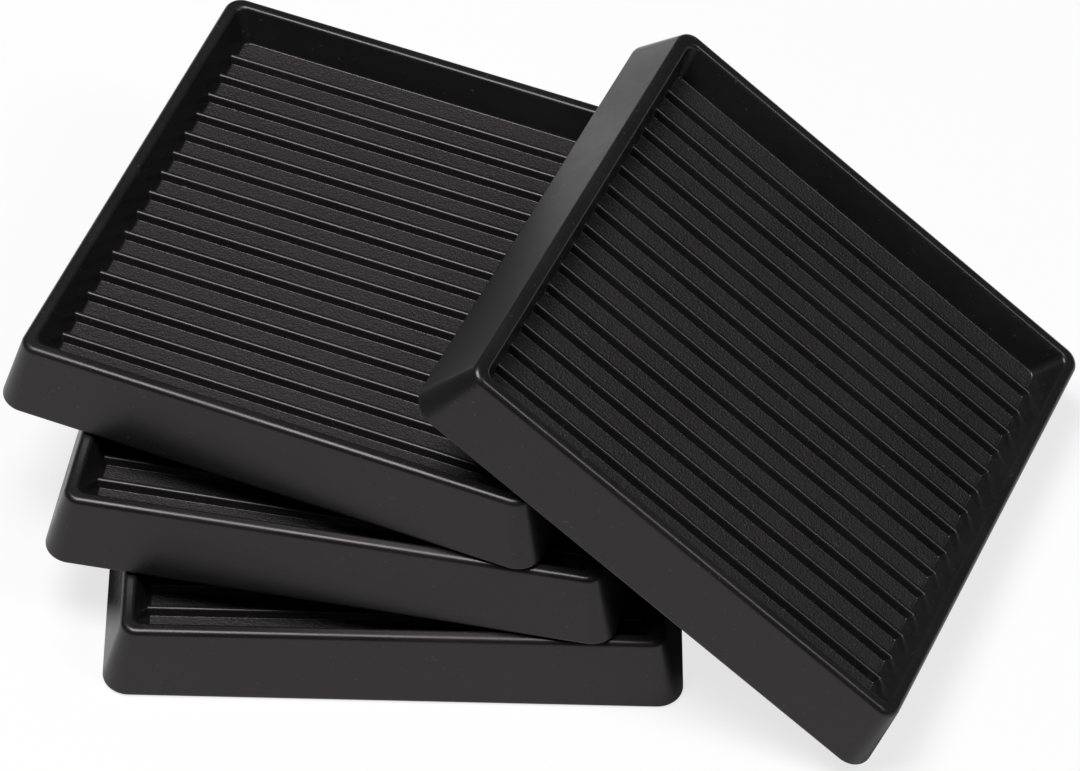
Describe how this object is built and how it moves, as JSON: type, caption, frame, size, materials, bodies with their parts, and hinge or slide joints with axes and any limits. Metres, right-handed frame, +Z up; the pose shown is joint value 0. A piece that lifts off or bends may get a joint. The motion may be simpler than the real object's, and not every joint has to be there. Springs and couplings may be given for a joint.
{
  "type": "furniture cup set",
  "caption": "Set of shallow square rubber cups with ribbed floors that sit under furniture feet: a twisted stack with a cup leaning on it.",
  "frame": {"origin": "middle of the lowest cup's underside", "axes": "+Z up; X and Y along the lowest cup's sides, with its ribs along X and the leaning cup towards +X"},
  "size_m": [0.1539, 0.1205, 0.0511],
  "materials": {
    "black_rubber": "satin moulded rubber"
  },
  "bodies": {
    "bottom": {"cup_bottom": "black_rubber"},
    "middle": {"cup_middle": "black_rubber"},
    "top": {"cup_top": "black_rubber"},
    "leaning": {"cup_leaning": "black_rubber"}
  },
  "joints": [
    {"name": "middle_lifts", "type": "slide", "parent": "bottom", "child": "middle", "axis": [0, 0, 1], "range_m": [0, 0.06]},
    {"name": "top_lifts", "type": "slide", "parent": "middle", "child": "top", "axis": [0, 0, 1], "range_m": [0, 0.06]},
    {"name": "leaning_lifts", "type": "slide", "parent": "top", "child": "leaning", "axis": [0, 0, 1], "range_m": [0, 0.06]}
  ]
}
